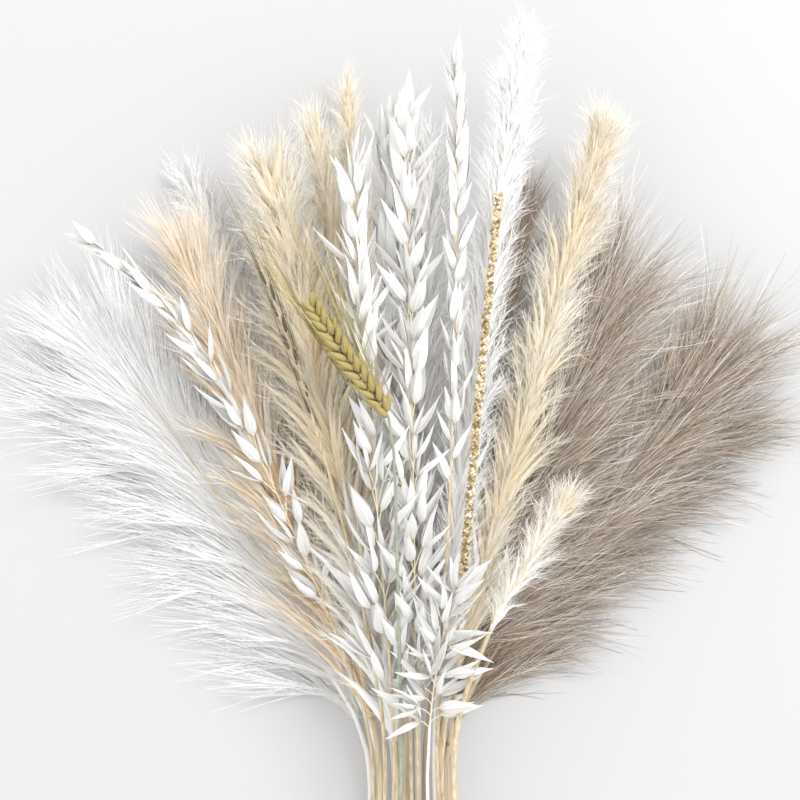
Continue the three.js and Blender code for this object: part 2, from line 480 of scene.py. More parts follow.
def hair_material(name, ramp, tones, roughness=0.55, sheen=0.25, bleached=None, streaked=False):
    """ramp: colours from root to tip. tones: tints from hair to hair.

    bleached: hairs with a tone past these two marks are partly and then fully white.
    """
    material = bpy.data.materials.new(name)
    material.use_nodes = True
    tree = material.node_tree
    shader = tree.nodes["Principled BSDF"]
    shader.inputs["Roughness"].default_value = roughness
    shader.inputs["Specular IOR Level"].default_value = HAIR_GLOSS
    shader.inputs["Sheen Weight"].default_value = sheen
    tone, along = uv_of(tree)
    colour = multiply(tree, add_ramp(tree, along, ramp), add_ramp(tree, tone, tones))
    # The down's dark streaks are painted shade between hairs, and the same noise gives their relief.
    if streaked:
        streaks = noise_on_uv(tree, STREAKS, 2.0)
        colour = multiply(tree, colour, add_ramp(tree, streaks, PAINTED_GAP_SHADE))
        add_bump(tree, streaks, shader, 0.6, STREAK_RELIEF)
    if bleached:
        white = tree.nodes.new("ShaderNodeMix")
        white.data_type = "RGBA"
        white.inputs[7].default_value = (*BLEACHED, 1)
        share = add_ramp(tree, tone, [(bleached[0], (0, 0, 0)), (bleached[1], (1, 1, 1))])
        tree.links.new(share, white.inputs["Factor"])
        tree.links.new(colour, white.inputs[6])
        colour = white.outputs[2]
    tree.links.new(colour, shader.inputs["Base Color"])
    return material


def plume_materials(name, ramp, tones, **finish):
    """The pair of materials of a plume: its hair, and the down inside."""
    hair = hair_material(name + "_hair", ramp, tones, **finish)
    return hair, hair_material(name + "_down", ramp, tones, streaked=True, **finish)


WHITE = plume_materials(
    "white",
    [(0, (0.90, 0.86, 0.81)), (0.2, (0.95, 0.945, 0.93)), (1, (0.97, 0.97, 0.975))],
    [(0, (0.90, 0.90, 0.905)), (0.35, (0.975, 0.975, 0.975)), (1, (1, 1, 1))],
)
CREAM = plume_materials(
    "cream",
    [(0, (0.88, 0.69, 0.42)), (0.3, (0.91, 0.81, 0.61)), (0.7, (0.92, 0.885, 0.79)),
     (1, (0.92, 0.915, 0.89))],
    [(0, (0.87, 0.77, 0.61)), (0.3, (0.94, 0.88, 0.78)), (0.6, (0.98, 0.95, 0.905)), (1, (1, 1, 1))],
    bleached=(0.66, 0.84),
)
PEACH = plume_materials(
    "peach",
    [(0, (0.88, 0.58, 0.31)), (0.3, (0.92, 0.74, 0.52)), (0.7, (0.93, 0.86, 0.74)),
     (1, (0.94, 0.92, 0.88))],
    [(0, (0.90, 0.78, 0.62)), (0.5, (0.98, 0.93, 0.87)), (1, (1, 1, 1))],
    bleached=(0.74, 0.95),
)
TAUPE = plume_materials(
    "taupe",
    [(0, (0.17, 0.115, 0.072)), (0.25, (0.37, 0.275, 0.185)), (0.65, (0.49, 0.385, 0.28)),
     (1, (0.51, 0.445, 0.38))],
    # The tints past 0.8 are painted glints: they make the palest taupe hairs brighter than white.
    [(0, (0.22, 0.21, 0.20)), (0.35, (0.72, 0.71, 0.70)), (0.6, (1.0, 1.0, 1.0)),
     (0.8, (1.35, 1.35, 1.35)), (0.85, (1.95, 2.2, 2.6)), (1, (2.05, 2.5, 3.2))],
    roughness=0.45,
)
print("plume materials:", [pair[0].name for pair in (WHITE, CREAM, PEACH, TAUPE)])

# %% [markdown]
# Both kinds of plume are built in two steps. Small branches leave the rib, and fine hairs leave
# every branch. So the hairs cross one another and the edge of the plume is ragged, as on a real
# one. Hairs set straight on the rib lie side by side and look combed.

# %% Hairs on branches
HAIR_PLACES = 4
CORE_SPOTS = (0, 0.33, 0.66, 0.98)
LAST_HAIR = 0.95
HAIR_CROWDING = 0.75
FLAT_SCATTER = 0.45


def bearded(rng, cores, hairs, hair, fork, flat):
    """Hairs that leave each core line.

    Back come their lines, the share of the core where each root is, and which core it is on.
    """
    which = np.repeat(np.arange(len(cores)), hairs)
    count = len(which)
    from_share = rng.random(count) ** HAIR_CROWDING * LAST_HAIR
    root, direction = on_line(cores[which], from_share)
    turn = rng.uniform(0, 2 * math.pi, count)
    if flat:
        turn = rng.choice((0.0, math.pi), count) + rng.normal(0, FLAT_SCATTER, count)
    long = hair * MM * rng.uniform(0.45, 1.15, count) * (1.1 - 0.4 * from_share)
    first = rng.normal(fork, 0.35 * fork, count)
    last = rng.normal(0.7 * fork, 0.6 * fork, count)
    lines = grow(root, direction, around(direction, turn), long, first, last, HAIR_PLACES)
    return lines, from_share, which


def core_places(cores):
    """Four places on each core line."""
    return np.stack([on_line(cores, np.full(len(cores), spot))[0] for spot in CORE_SPOTS], axis=1)


def how_far(from_share, by_root):
    """How far out each place of a hair is: by_root of it is the place of its root."""
    root = by_root * from_share[:, None]
    return root + (1 - root) * np.linspace(0, 1, HAIR_PLACES)


# %% [markdown]
# Feather grass has one thin rib with long straight hairs on both sides. Each branch leaves the
# rib forwards and then swings out. The rib ends at two thirds of the plume, and the last branches
# make the rest of it. On the side where a plume lies free, its branches swing out further. A
# plume on a table is pressed flat, so it spreads sideways much more than up and down. Some taupe
# hairs are painted brighter than white: they are painted glints, for light that shines through
# and off the mass.

# %% Feather plumes
BRANCHES, BRANCH_HAIRS = 400, 22
BRANCH_PLACES = 6
RIB_START, RIB_END = -0.14, 0.66
RIB_CROWDING, LEAN_CROWDING = 0.92, 0.85
UPWARDS = (-0.04, 0.17)
ON_BRANCH = 0.6


def feather(name, pair, seed, spread, branch, hair, fork, thick):
    """spread: degrees of lean at the branch tips, left and right. branch, hair: mm."""
    rng = np.random.default_rng(seed)
    stalk = STALKS[name]
    share = (np.arange(BRANCHES) + rng.random(BRANCHES)) / BRANCHES
    share = RIB_START + (RIB_END - RIB_START) * share ** RIB_CROWDING
    y = stalk.head_y(share)
    along, across, over = stalk.frame_at(y)
    side = rng.choice((-1.0, 1.0), BRANCHES)
    out = unit(side[:, None] * across + rng.normal(*UPWARDS, (BRANCHES, 1)) * over)
    towards_end = np.clip(share / RIB_END, 0, 1)
    reach = (branch[0] + (branch[1] - branch[0]) * towards_end) * MM
    reach = reach * rng.uniform(0.5, 1.1, BRANCHES)
    widest = np.where(side < 0, spread[0], spread[1])
    lean = widest * rng.random(BRANCHES) ** LEAN_CROWDING * (1 - 0.3 * towards_end ** 2)
    first_lean = lean * rng.uniform(0.3, 0.75, BRANCHES)
    twigs = grow(stalk.at(y), along, out, reach, first_lean, lean, BRANCH_PLACES)

    lines, from_share, _ = bearded(rng, twigs, BRANCH_HAIRS, hair, fork, flat=True)
    count = len(lines)
    radii = taper(HAIR_PLACES, thick, thick * 0.45, 1.3) * MM * rng.uniform(0.7, 1.25, (count, 1))
    twig_radii = taper(HAIR_PLACES, 0.2, 0.1) * MM + np.zeros((BRANCHES, 1))
    mesh = hair_mesh(
        name + "_hairs",
        np.concatenate([lines, core_places(twigs)]),
        np.concatenate([radii, twig_radii]),
        np.concatenate([rng.random(count), 0.8 * rng.random(BRANCHES)]),
        np.concatenate([how_far(from_share, ON_BRANCH), ON_BRANCH * np.array([CORE_SPOTS] * BRANCHES)]),
    )
    return piece(name + "_hairs", name, [(mesh, pair[0])])


feather("white_feather_low", WHITE, 11, spread=(74, 44), branch=(44, 50), hair=52, fork=9,
        thick=0.115)
feather("white_feather_high", WHITE, 12, spread=(52, 46), branch=(46, 54), hair=52, fork=9,
        thick=0.115)
feather("taupe_feather_low", TAUPE, 13, spread=(46, 72), branch=(46, 54), hair=44, fork=15,
        thick=0.12)
feather("taupe_feather_middle", TAUPE, 14, spread=(62, 50), branch=(54, 58), hair=44, fork=15,
        thick=0.12)
feather("taupe_feather_high", TAUPE, 15, spread=(44, 64), branch=(54, 62), hair=44, fork=16,
        thick=0.12)

# %% [markdown]
# Pampas is softer and full. Each plume is a heap of small foxtails that lie forwards on the rib.
# A foxtail has a soft spindle of packed down inside, which closes the plume, and fine hairs
# around it. Some foxtails are whiter than others, and whole stretches of a plume are more golden,
# so the tone comes in part from the place.

# %% Pampas plumes
PATCH = 32 * MM
TUFT_SHIFT, HAIR_SHIFT, PATCH_SHIFT = 0.45, 0.2, 0.35
ON_TUFT, DOWN_REACH = 0.7, 0.75
SOFT_HAIR = 0.14
SPINDLE = (0.7, 1.0, 0.6, 0.06)
PRESSED = 0.6
FOOT_END, PALE_END = 0.4, 0.6


def patches(spots):
    """Slow waves over the plume, from 0 to 1."""
    x, y, z = (spots / PATCH).T
    return 0.5 + 0.25 * np.sin(2.1 * x + 1.3 * y) + 0.25 * np.sin(1.7 * y - 2.3 * x + z + 1.0)


def swelling(share, foot):
    """How full a plume is at a share of it: fullest in the middle, and at least foot at its foot."""
    swell = np.sin(math.pi * np.clip(share + 0.08, 0.05, 0.98) ** 0.8) ** 0.6
    return np.where(share < FOOT_END, np.maximum(swell, foot), swell)


def pampas(name, pair, seed, tufts, hairs, tuft, hair, lean, fork=32, start=0.0, end=0.9,
           pale=(0.0, 0.0), foot=0.5, down=1.6):
    """tuft, hair, down: mm. lean: degrees at a tuft's base and tip. pale: at the foot, the tip."""
    rng = np.random.default_rng(seed)
    stalk = STALKS[name]
    share = start + (end - start) * ((np.arange(tufts) + rng.random(tufts)) / tufts) ** 0.9
    y = stalk.head_y(share)
    along, across, over = stalk.frame_at(y)
    turn = rng.uniform(0, 2 * math.pi, tufts)
    out = np.cos(turn)[:, None] * across + PRESSED * np.sin(turn)[:, None] * over
    swell = swelling(share, foot)
    size = tuft * MM * rng.uniform(0.6, 1.1, tufts) * (0.5 + 0.5 * swell)
    tip_lean = rng.normal(lean[1], 9, tufts) * (0.45 + 0.55 * swell)
    first_lean = rng.normal(lean[0], 4, tufts)
    cores = grow(stalk.at(y), along, out, size, first_lean, tip_lean, BRANCH_PLACES)
    whiter = pale[0] + (pale[1] - pale[0]) * smooth(share / PALE_END)
    whiter = whiter + TUFT_SHIFT * rng.random(tufts)

    lines, from_share, which = bearded(rng, cores, hairs, hair, fork, flat=False)
    count = len(lines)
    radii = taper(HAIR_PLACES, SOFT_HAIR, 0.3 * SOFT_HAIR) * MM * rng.uniform(0.75, 1.2, (count, 1))
    tone = whiter[which] + HAIR_SHIFT * rng.random(count) + PATCH_SHIFT * patches(lines[:, 0])
    mesh = hair_mesh(name + "_hairs", lines, radii, tone, how_far(from_share, ON_TUFT))

    spindles = hair_mesh(
        name + "_down",
        core_places(cores),
        np.array(SPINDLE) * (down * MM * rng.uniform(0.7, 1.2, (tufts, 1))),
        whiter + HAIR_SHIFT / 2 + PATCH_SHIFT * patches(cores[:, 0]),
        DOWN_REACH * np.array([CORE_SPOTS] * tufts),
        sides=CORE_SIDES,
    )
    return piece(name + "_hairs", name, [(mesh, pair[0]), (spindles, pair[1])])


pampas("white_pampas_back", WHITE, 21, 130, 23, tuft=40, hair=18, lean=(14, 32), start=-0.25)
pampas("white_pampas_middle", WHITE, 22, 110, 22, tuft=38, hair=18, lean=(12, 34), start=-0.45,
       foot=0.8)
pampas("cream_pampas_thin", CREAM, 23, 140, 22, tuft=36, hair=16, lean=(9, 28), start=-0.45, end=0.94,
       pale=(0.1, -0.1), foot=0.85)
pampas("cream_pampas_slim", CREAM, 24, 170, 24, tuft=42, hair=18, lean=(12, 34), start=-0.35,
       pale=(0.1, -0.1), foot=0.8)
pampas("cream_pampas_full", CREAM, 25, 330, 26, tuft=58, hair=21, lean=(18, 48), start=-0.14,
       pale=(0.3, -0.12), foot=1.0, down=2.3)
pampas("cream_pampas_right", CREAM, 26, 270, 25, tuft=46, hair=18, lean=(12, 36), start=-0.12,
       pale=(0.05, -0.1))
pampas("cream_pampas_small", CREAM, 27, 66, 24, tuft=26, hair=14, lean=(10, 32), end=0.72,
       pale=(0.2, 0.2), down=1.2)
pampas("white_pampas_tall", WHITE, 28, 230, 24, tuft=40, hair=18, lean=(11, 32), start=-0.15)
pampas("peach_pampas", PEACH, 16, 200, 27, tuft=62, hair=32, lean=(14, 42), fork=14, start=-0.2,
       pale=(-0.1, 0.1), foot=0.85)
pampas("taupe_feather_narrow", TAUPE, 29, 130, 24, tuft=44, hair=28, lean=(6, 18), fork=13,
       start=-0.1, down=1.0)

# %% [markdown]
# A stalk is a straw with a swollen joint every few centimetres. It gets thinner on the way up
# and runs on into its head as the rib. In a feather the rib lies a little above the hairs. The
# same sweep draws it, with ten sides. Its lower end was cut, so the cap there is inset and pushed
# in, which shows the hollow of the straw. Two numbers on its corners, joint and rib, tell the
# material where to change colour.

# %% Stalks
JOINT_STEP = 74 * MM
JOINT_HALF = 1.6 * MM
JOINT_SWELL = 0.1
STRAW_WALL = 0.7 * MM
HOLLOW = 5 * MM
STRAW_STEPS = 16
RIB_STEPS = 12
PLUME_RIB = 0.88
RIBS = {"white_feather_low": RIB_END, "white_feather_high": RIB_END, "taupe_feather_low": RIB_END,
        "taupe_feather_middle": RIB_END, "taupe_feather_high": RIB_END, "gold_reed": 0.99,
        "wheat_ear": 0.5, "dark_bearded_ear": 0.55}
RIB_RISE = 2.2 * MM
CUT_REACH = 1.5 * MM
HOLLOW_TAPER = 0.1 * MM


def stalk_heights(stalk, rng, rib):
    """Heights along the stalk, with three close together at each joint."""
    plain = np.linspace(stalk.cut[1], stalk.base[1], STRAW_STEPS)
    first = stalk.cut[1] + JOINT_STEP * rng.uniform(0.35, 0.9)
    joints = np.arange(first, stalk.base[1] - 3 * JOINT_HALF, JOINT_STEP)
    plain = [y for y in plain if all(abs(y - joint) > 2.5 * JOINT_HALF for joint in joints)]
    near = [joint + k * JOINT_HALF for joint in joints for k in (-1, 0, 1)]
    ribs = np.linspace(stalk.base[1], stalk.head_y(rib), RIB_STEPS)[1:]
    return np.array(sorted([*plain, *near, *ribs])), joints


def stalk_mesh(stalk, seed, thick, rib_thick):
    """thick: radii in mm at the cut and at the head. rib_thick: radii along the rib."""
    rng = np.random.default_rng(seed)
    ys, joints = stalk_heights(stalk, rng, RIBS.get(stalk.name, PLUME_RIB))
    up = np.clip((ys - stalk.cut[1]) / (stalk.base[1] - stalk.cut[1]), 0, 1)
    far = np.clip((ys - stalk.base[1]) / (ys[-1] - stalk.base[1]), 0, 1)
    radii = thick[0] + (thick[1] - thick[0]) * up
    radii = np.where(far > 0, rib_thick[0] + (rib_thick[1] - rib_thick[0]) * far, radii)
    joint = np.array([any(abs(y - at) < 0.1 * MM for at in joints) for y in ys], dtype=float)
    radii = radii * (1 + JOINT_SWELL * joint) * MM
    line = stalk.at(ys)
    if "feather" in stalk.name:
        line[:, 2] += RIB_RISE * smooth(far * 5)
    mesh = sweep(stalk.name + "_stalk", line[None], radii[None], STRAW_SIDES)
    _, place, _ = tube_places(np.arange(len(mesh.vertices)), 1, len(ys), STRAW_SIDES)
    mesh.attributes.new("joint", "FLOAT", "POINT").data.foreach_set("value", joint[place])
    mesh.attributes.new("rib", "FLOAT", "POINT").data.foreach_set("value", smooth(far * 6)[place])
    while mesh.uv_layers:
        mesh.uv_layers.remove(mesh.uv_layers[0])
    hollow_out(mesh, stalk.cut[1])
    return mesh


def hollow_out(mesh, cut_y):
    """The cap at the cut end becomes a wall with a hole inside."""
    work = bmesh.new()
    work.from_mesh(mesh)
    bmesh.ops.remove_doubles(work, verts=work.verts, dist=WELD)
    ends = [face for face in work.faces if all(abs(v.co.y - cut_y) < CUT_REACH for v in face.verts)]
    ends = [face for face in ends if face.normal.y < -0.7]
    if len(ends) > 1:
        ends = bmesh.ops.dissolve_faces(work, faces=ends)["region"]
    bmesh.ops.inset_region(work, faces=ends, thickness=STRAW_WALL, use_even_offset=True)
    bmesh.ops.inset_region(work, faces=ends, thickness=HOLLOW_TAPER, depth=-HOLLOW,
                           use_even_offset=True)
    work.to_mesh(mesh)
    work.free()
    mesh.polygons.foreach_set("use_smooth", np.ones(len(mesh.polygons), dtype=bool))


# %% [markdown]
# Straw is streaked along its length, a little shiny, and darker at the joints. A noise squeezed
# along the stalk gives the streaks and a fine relief. The number called rib blends the straw's
# colour into the colour of the rib.

# %% Straw material
STREAKS_ACROSS, STREAKS_ALONG = 900, 14
STRAW_RELIEF = 0.15 * MM


def straw_material(name, dark, light, joint, rib):
    material = bpy.data.materials.new(name)
    material.use_nodes = True
    tree = material.node_tree
    shader = tree.nodes["Principled BSDF"]
    shader.inputs["Roughness"].default_value = 0.48
    place = tree.nodes.new("ShaderNodeTexCoord")
    squeeze = tree.nodes.new("ShaderNodeMapping")
    squeeze.inputs["Scale"].default_value = (STREAKS_ACROSS, STREAKS_ALONG, STREAKS_ACROSS)
    streaks = tree.nodes.new("ShaderNodeTexNoise")
    streaks.inputs["Scale"].default_value = 1.0
    streaks.inputs["Detail"].default_value = 3.0
    tree.links.new(place.outputs["Object"], squeeze.inputs["Vector"])
    tree.links.new(squeeze.outputs["Vector"], streaks.inputs["Vector"])
    colour = add_ramp(tree, streaks.outputs["Fac"], [(0.3, dark), (0.7, light)])
    for attribute, tint in (("joint", joint), ("rib", rib)):
        read = tree.nodes.new("ShaderNodeAttribute")
        read.attribute_name = attribute
        blend = tree.nodes.new("ShaderNodeMix")
        blend.data_type = "RGBA"
        blend.inputs[7].default_value = (*tint, 1)
        tree.links.new(read.outputs["Fac"], blend.inputs["Factor"])
        tree.links.new(colour, blend.inputs[6])
        colour = blend.outputs[2]
    tree.links.new(colour, shader.inputs["Base Color"])
    add_bump(tree, streaks.outputs["Fac"], shader, 0.5, STRAW_RELIEF)
    return material


BLEACHED_STRAW = ((0.82, 0.79, 0.74), (0.93, 0.92, 0.90), (0.74, 0.66, 0.55))
STRAW = {
    "straw": straw_material("straw", (0.42, 0.31, 0.17), (0.78, 0.66, 0.44),
                            (0.46, 0.32, 0.16), (0.80, 0.62, 0.36)),
    "bleached": straw_material("bleached_straw", *BLEACHED_STRAW, (0.86, 0.80, 0.72)),
    "white_rib": straw_material("grey_ribbed_straw", *BLEACHED_STRAW, (0.42, 0.37, 0.33)),
    "tan_rib": straw_material("tan_ribbed_straw", *BLEACHED_STRAW, (0.62, 0.47, 0.34)),
    "taupe": straw_material("brown_straw", (0.34, 0.25, 0.16), (0.56, 0.44, 0.30),
                            (0.16, 0.10, 0.06), (0.13, 0.085, 0.05)),
    "green": straw_material("green_straw", (0.20, 0.23, 0.16), (0.36, 0.39, 0.29),
                            (0.26, 0.27, 0.16), (0.40, 0.34, 0.10)),
}


def straw_of(name):
    if name == "white_feather_low":
        return STRAW["white_rib"]
    if name == "white_feather_high":
        return STRAW["tan_rib"]
    if name == "wheat_ear":
        return STRAW["green"]
    if name.startswith("taupe"):
        return STRAW["taupe"]
    return STRAW["bleached" if SLOTS[name + "_stem"] == "bleached_stem" else "straw"]


THIN_STEM = 2 * MM
FIRST_STALK_SEED = 100

for number, (name, stalk) in enumerate(STALKS.items()):
    thin = 0.75 if stalk.radius < THIN_STEM else 1.0
    low = stalk.radius / MM
    seed = FIRST_STALK_SEED + number
    shape = stalk_mesh(stalk, seed, (low, 0.5 * low), (0.38 * low * thin, 0.28))
    piece(name + "_stalk", name + "_stem", [(shape, straw_of(name))])

# %% [markdown]
# An oat husk is a thin pointed boat of paper with a keel down its back. Its shape starts as a
# small grid. The grid is narrowed to its two points, folded up along the keel, and given a
# thickness. The keel and the rim stay sharp, because soft shading across them would make a husk
# look like a bean. A spikelet is three husks that open from one point.

# %% Oat husks
HUSK_ACROSS, HUSK_ALONG = 2, 7
HUSK_SKIN = 0.007
CREASE = 0.5


def husk_shape(name, width, arch, curl):
    """A husk of length 1 along Y, with its hollow side down and a keel down its back."""
    work = bmesh.new()
    bmesh.ops.create_grid(work, x_segments=HUSK_ACROSS, y_segments=HUSK_ALONG, size=0.5)
    for corner in work.verts:
        share, across = corner.co.y + 0.5, 2 * corner.co.x
        inside = 0.001 < share < 0.999
        half = width / 2 * math.sin(math.pi * share ** 0.62) ** 1.15 if inside else 0
        keel = arch * math.sin(math.pi * share ** 0.7) * (1 - abs(across)) if inside else 0
        corner.co = (across * half, share, keel + curl * share ** 2)
    bmesh.ops.remove_doubles(work, verts=work.verts, dist=1e-4)
    bmesh.ops.solidify(work, geom=work.faces[:], thickness=HUSK_SKIN)
    bmesh.ops.recalc_face_normals(work, faces=work.faces)
    for edge in work.edges:
        edge.smooth = edge.calc_face_angle(0) < CREASE
    husk = bpy.data.meshes.new(name)
    work.to_mesh(husk)
    work.free()
    spots = np.empty(len(husk.vertices) * 3)
    husk.vertices.foreach_get("co", spots)
    x, y, z = spots.reshape(-1, 3)[corner_numbers(husk)].T
    write_uv(husk, 0.5 + (x + 0.3 * z) / (1.5 * width), 0.03 + 0.92 * y)
    husk.polygons.foreach_set("use_smooth", np.ones(len(husk.polygons), dtype=bool))
    return husk


HUSKS = [
    husk_shape("broad_husk", 0.30, 0.10, 0.07),
    husk_shape("bent_husk", 0.26, 0.09, -0.12),
    husk_shape("narrow_husk", 0.19, 0.08, 0.04),
]
print("faces of a husk:", [len(husk.polygons) for husk in HUSKS])


def stand(root, along, back, size):
    """A matrix that puts a shape of length 1 at root, along a direction, its back to another."""
    across = np.cross(along, back)
    across /= np.linalg.norm(across)
    back = np.cross(across, along)
    turned = Matrix(np.stack([across, along, back], axis=1).tolist()).to_4x4()
    return Matrix.Translation(Vector(root.tolist())) @ turned @ Matrix.Diagonal((size, size, size, 1))


def place_copies(name, copies):
    """One mesh from a list of (shape, matrix)."""
    work = bmesh.new()
    for shape, matrix in copies:
        made = len(work.verts)
        work.from_mesh(shape)
        work.verts.ensure_lookup_table()
        bmesh.ops.transform(work, matrix=matrix, verts=work.verts[made:])
    mesh = bpy.data.meshes.new(name)
    work.to_mesh(mesh)
    work.free()
    return mesh


# %% [markdown]
# The paper of a husk is white with fine ribs from end to end and a straw tint where it grows on
# its branch. Noise stretched along the husk's own UV map draws the ribs and gives them relief. The
# grey of the darker ribs is partly the paper's own colour and partly painted shade.

# %% Husk material
HUSK_RIBS = (34, 1.4)
HUSK_RELIEF = 0.2 * MM


def husk_material(name, base, dark, light):
    material = bpy.data.materials.new(name)
    material.use_nodes = True
    tree = material.node_tree
    shader = tree.nodes["Principled BSDF"]
    shader.inputs["Roughness"].default_value = 0.5
    shader.inputs["Sheen Weight"].default_value = 0.2
    _, along = uv_of(tree)
    ribs = noise_on_uv(tree, HUSK_RIBS, 2.0)
    # The dark end of the ribs is partly the paper's own colour and partly painted shade.
    paper = add_ramp(tree, ribs, [(0.3, dark), (0.65, light)])
    tint = add_ramp(tree, along, [(0.02, base), (0.22, (1, 1, 1)), (1, (1, 1, 1))])
    tree.links.new(multiply(tree, paper, tint), shader.inputs["Base Color"])
    add_bump(tree, ribs, shader, 0.6, HUSK_RELIEF)
    return material


# The grey of this paper's ribs is partly painted shade.
HUSK_PAPER = husk_material("husk_paper", (0.88, 0.80, 0.62), (0.60, 0.59, 0.57),
                           (0.92, 0.92, 0.905))
BRANCH_HAIR = hair_material(
    "branch_straw",
    [(0, (0.78, 0.66, 0.42)), (1, (0.88, 0.80, 0.62))],
    [(0, (0.45, 0.32, 0.20)), (0.12, (0.6, 0.48, 0.34)), (0.2, (1, 1, 1)), (1, (1, 1, 1))],
    sheen=0.0,
)

# %% [markdown]
# Spikelets sit on both sides of the stalk by turns, each on a thin branch. The lower ones have
# longer branches. Here and there a brown bristle sticks out between the husks.

# %% Oat heads
TWIG_PLACES = 5
LAST_SPIKELET = 0.96
HUSK_SIZES = (1, 0.92, 0.8)
INNER_GAPE = 8
BRISTLE_SHARE = 0.35
BRISTLE_TONE = 0.03


def oats(name, seed, spikelets, husk, branch, lean, gape, start=0.0, one_side=0.0):
    """husk, branch: mm. lean: degrees from the stalk. gape: degrees a husk opens."""
    rng = np.random.default_rng(seed)
    stalk = STALKS[name]
    place = np.arange(spikelets) + rng.uniform(0.2, 0.8, spikelets)
    share = start + (LAST_SPIKELET - start) * place / spikelets
    y = stalk.head_y(share)
    along, across, over = stalk.frame_at(y)
    side = np.where(np.arange(spikelets) % 2, 1.0, -1.0)
    side = np.where(rng.random(spikelets) < abs(one_side), np.sign(one_side), side)
    out = unit(side[:, None] * across + rng.normal(0.15, 0.5, (spikelets, 1)) * over)
    less = 1 - 0.55 * np.clip(share, 0, 1)
    tilt = rng.uniform(lean[0], lean[1], spikelets) * less
    lines = grow(stalk.at(y), along, out, branch * MM * rng.uniform(0.5, 1.2, spikelets) * less,
                 tilt * 0.6, tilt, TWIG_PLACES)
    copies, bristles = [], []
    for line in lines:
        end_way = unit(line[-1] - line[-2])
        turn = around(end_way[None], rng.uniform(0, 2 * math.pi, 1))[0]
        for k in range(3):
            opening = math.radians(rng.uniform(*(gape if k < 2 else (0, INNER_GAPE))))
            sideways = unit((1, -1, 1)[k] * turn + rng.normal(0, 0.25, 3))
            sideways = unit(sideways - end_way * sideways.dot(end_way))
            way = math.cos(opening) * end_way + math.sin(opening) * sideways
            size = husk * MM * rng.uniform(0.8, 1.08) * HUSK_SIZES[k]
            shape = HUSKS[rng.integers(2) if k < 2 else 2]
            copies.append((shape, stand(line[-1], way, sideways, size)))
        if rng.random() < BRISTLE_SHARE:
            bristles.append((line[-1], unit(end_way + rng.normal(0, 0.3, 3)), turn))
    radii = taper(TWIG_PLACES, 0.34, 0.24) * MM + np.zeros((spikelets, 1))
    tones = 0.3 + 0.6 * rng.random(spikelets)
    if bristles:
        root, way, bend = (np.array(part) for part in zip(*bristles))
        number = len(bristles)
        long = rng.uniform(14, 24, number) * MM
        thin = grow(root, way, bend, long, np.zeros(number), rng.uniform(10, 50, number), TWIG_PLACES)
        lines = np.concatenate([lines, thin])
        thin_radii = taper(TWIG_PLACES, 0.2, 0.06) * MM + np.zeros((number, 1))
        radii = np.concatenate([radii, thin_radii])
        tones = np.concatenate([tones, np.full(number, BRISTLE_TONE)])
    branches = hair_mesh("branches", lines, radii, tones, np.linspace(0, 1, TWIG_PLACES)[None])
    for shape, matrix in copies:
        lowest = min((matrix @ v.co).z for v in shape.vertices)
        if lowest < FLOOR_GAP:
            matrix.translation.z += FLOOR_GAP - lowest
    husks = place_copies("husks", copies)
    return piece(name + "_husks", name, [(husks, HUSK_PAPER), (branches, BRANCH_HAIR)])


oats("oats_left", 31, 27, husk=23, branch=11, lean=(12, 36), gape=(6, 22), start=0.02, one_side=-0.3)
oats("oats_back", 32, 34, husk=26, branch=13, lean=(10, 38), gape=(8, 30))
oats("oats_front_left", 33, 44, husk=27, branch=14, lean=(10, 44), gape=(8, 36), start=-0.16)
oats("oats_front_right", 34, 50, husk=27, branch=13, lean=(10, 42), gape=(8, 36), start=-0.1)
oats("oats_tall", 35, 28, husk=22, branch=7, lean=(6, 24), gape=(6, 20))
oats("oats_low", 36, 26, husk=25, branch=9, lean=(25, 90), gape=(20, 50))

# %% [markdown]
# A wheat ear is a stack of plump pointed kernels in rows. The middle kernel of each row and a few
# of the others carry a long stiff bristle. The kernel starts as a ball that is drawn out to a
# point. The bristles of the wheat stand more upright than its nodding ear. The dark ear is built
# in the same way, with slimmer kernels.

# %% Ears with bristles
KERNEL_AROUND, KERNEL_ALONG = 8, 6
AWN_PLACES = 6
MORE_BRISTLES = 0.15


def kernel_shape(name, width, depth):
    """A kernel of length 1 along Y, with its point at the end."""
    work = bmesh.new()
    bmesh.ops.create_uvsphere(work, u_segments=KERNEL_AROUND, v_segments=KERNEL_ALONG, radius=0.5)
    for corner in work.verts:
        share = corner.co.z + 0.5
        pinch = 1 - 0.93 * share ** 2
        corner.co = (corner.co.x * width * pinch * 1.3, share, corner.co.y * depth * pinch * 1.3)
    bmesh.ops.recalc_face_normals(work, faces=work.faces)
    kernel = bpy.data.meshes.new(name)
    work.to_mesh(kernel)
    work.free()
    spots = np.empty(len(kernel.vertices) * 3)
    kernel.vertices.foreach_get("co", spots)
    x, y, z = spots.reshape(-1, 3)[corner_numbers(kernel)].T
    write_uv(kernel, 0.5 + (x + 0.35 * z) / (1.9 * width), 0.04 + 0.9 * y)
    kernel.polygons.foreach_set("use_smooth", np.ones(len(kernel.polygons), dtype=bool))
    return kernel


PLUMP_KERNEL = kernel_shape("plump_kernel", 0.36, 0.30)
SLIM_KERNEL = kernel_shape("slim_kernel", 0.15, 0.13)

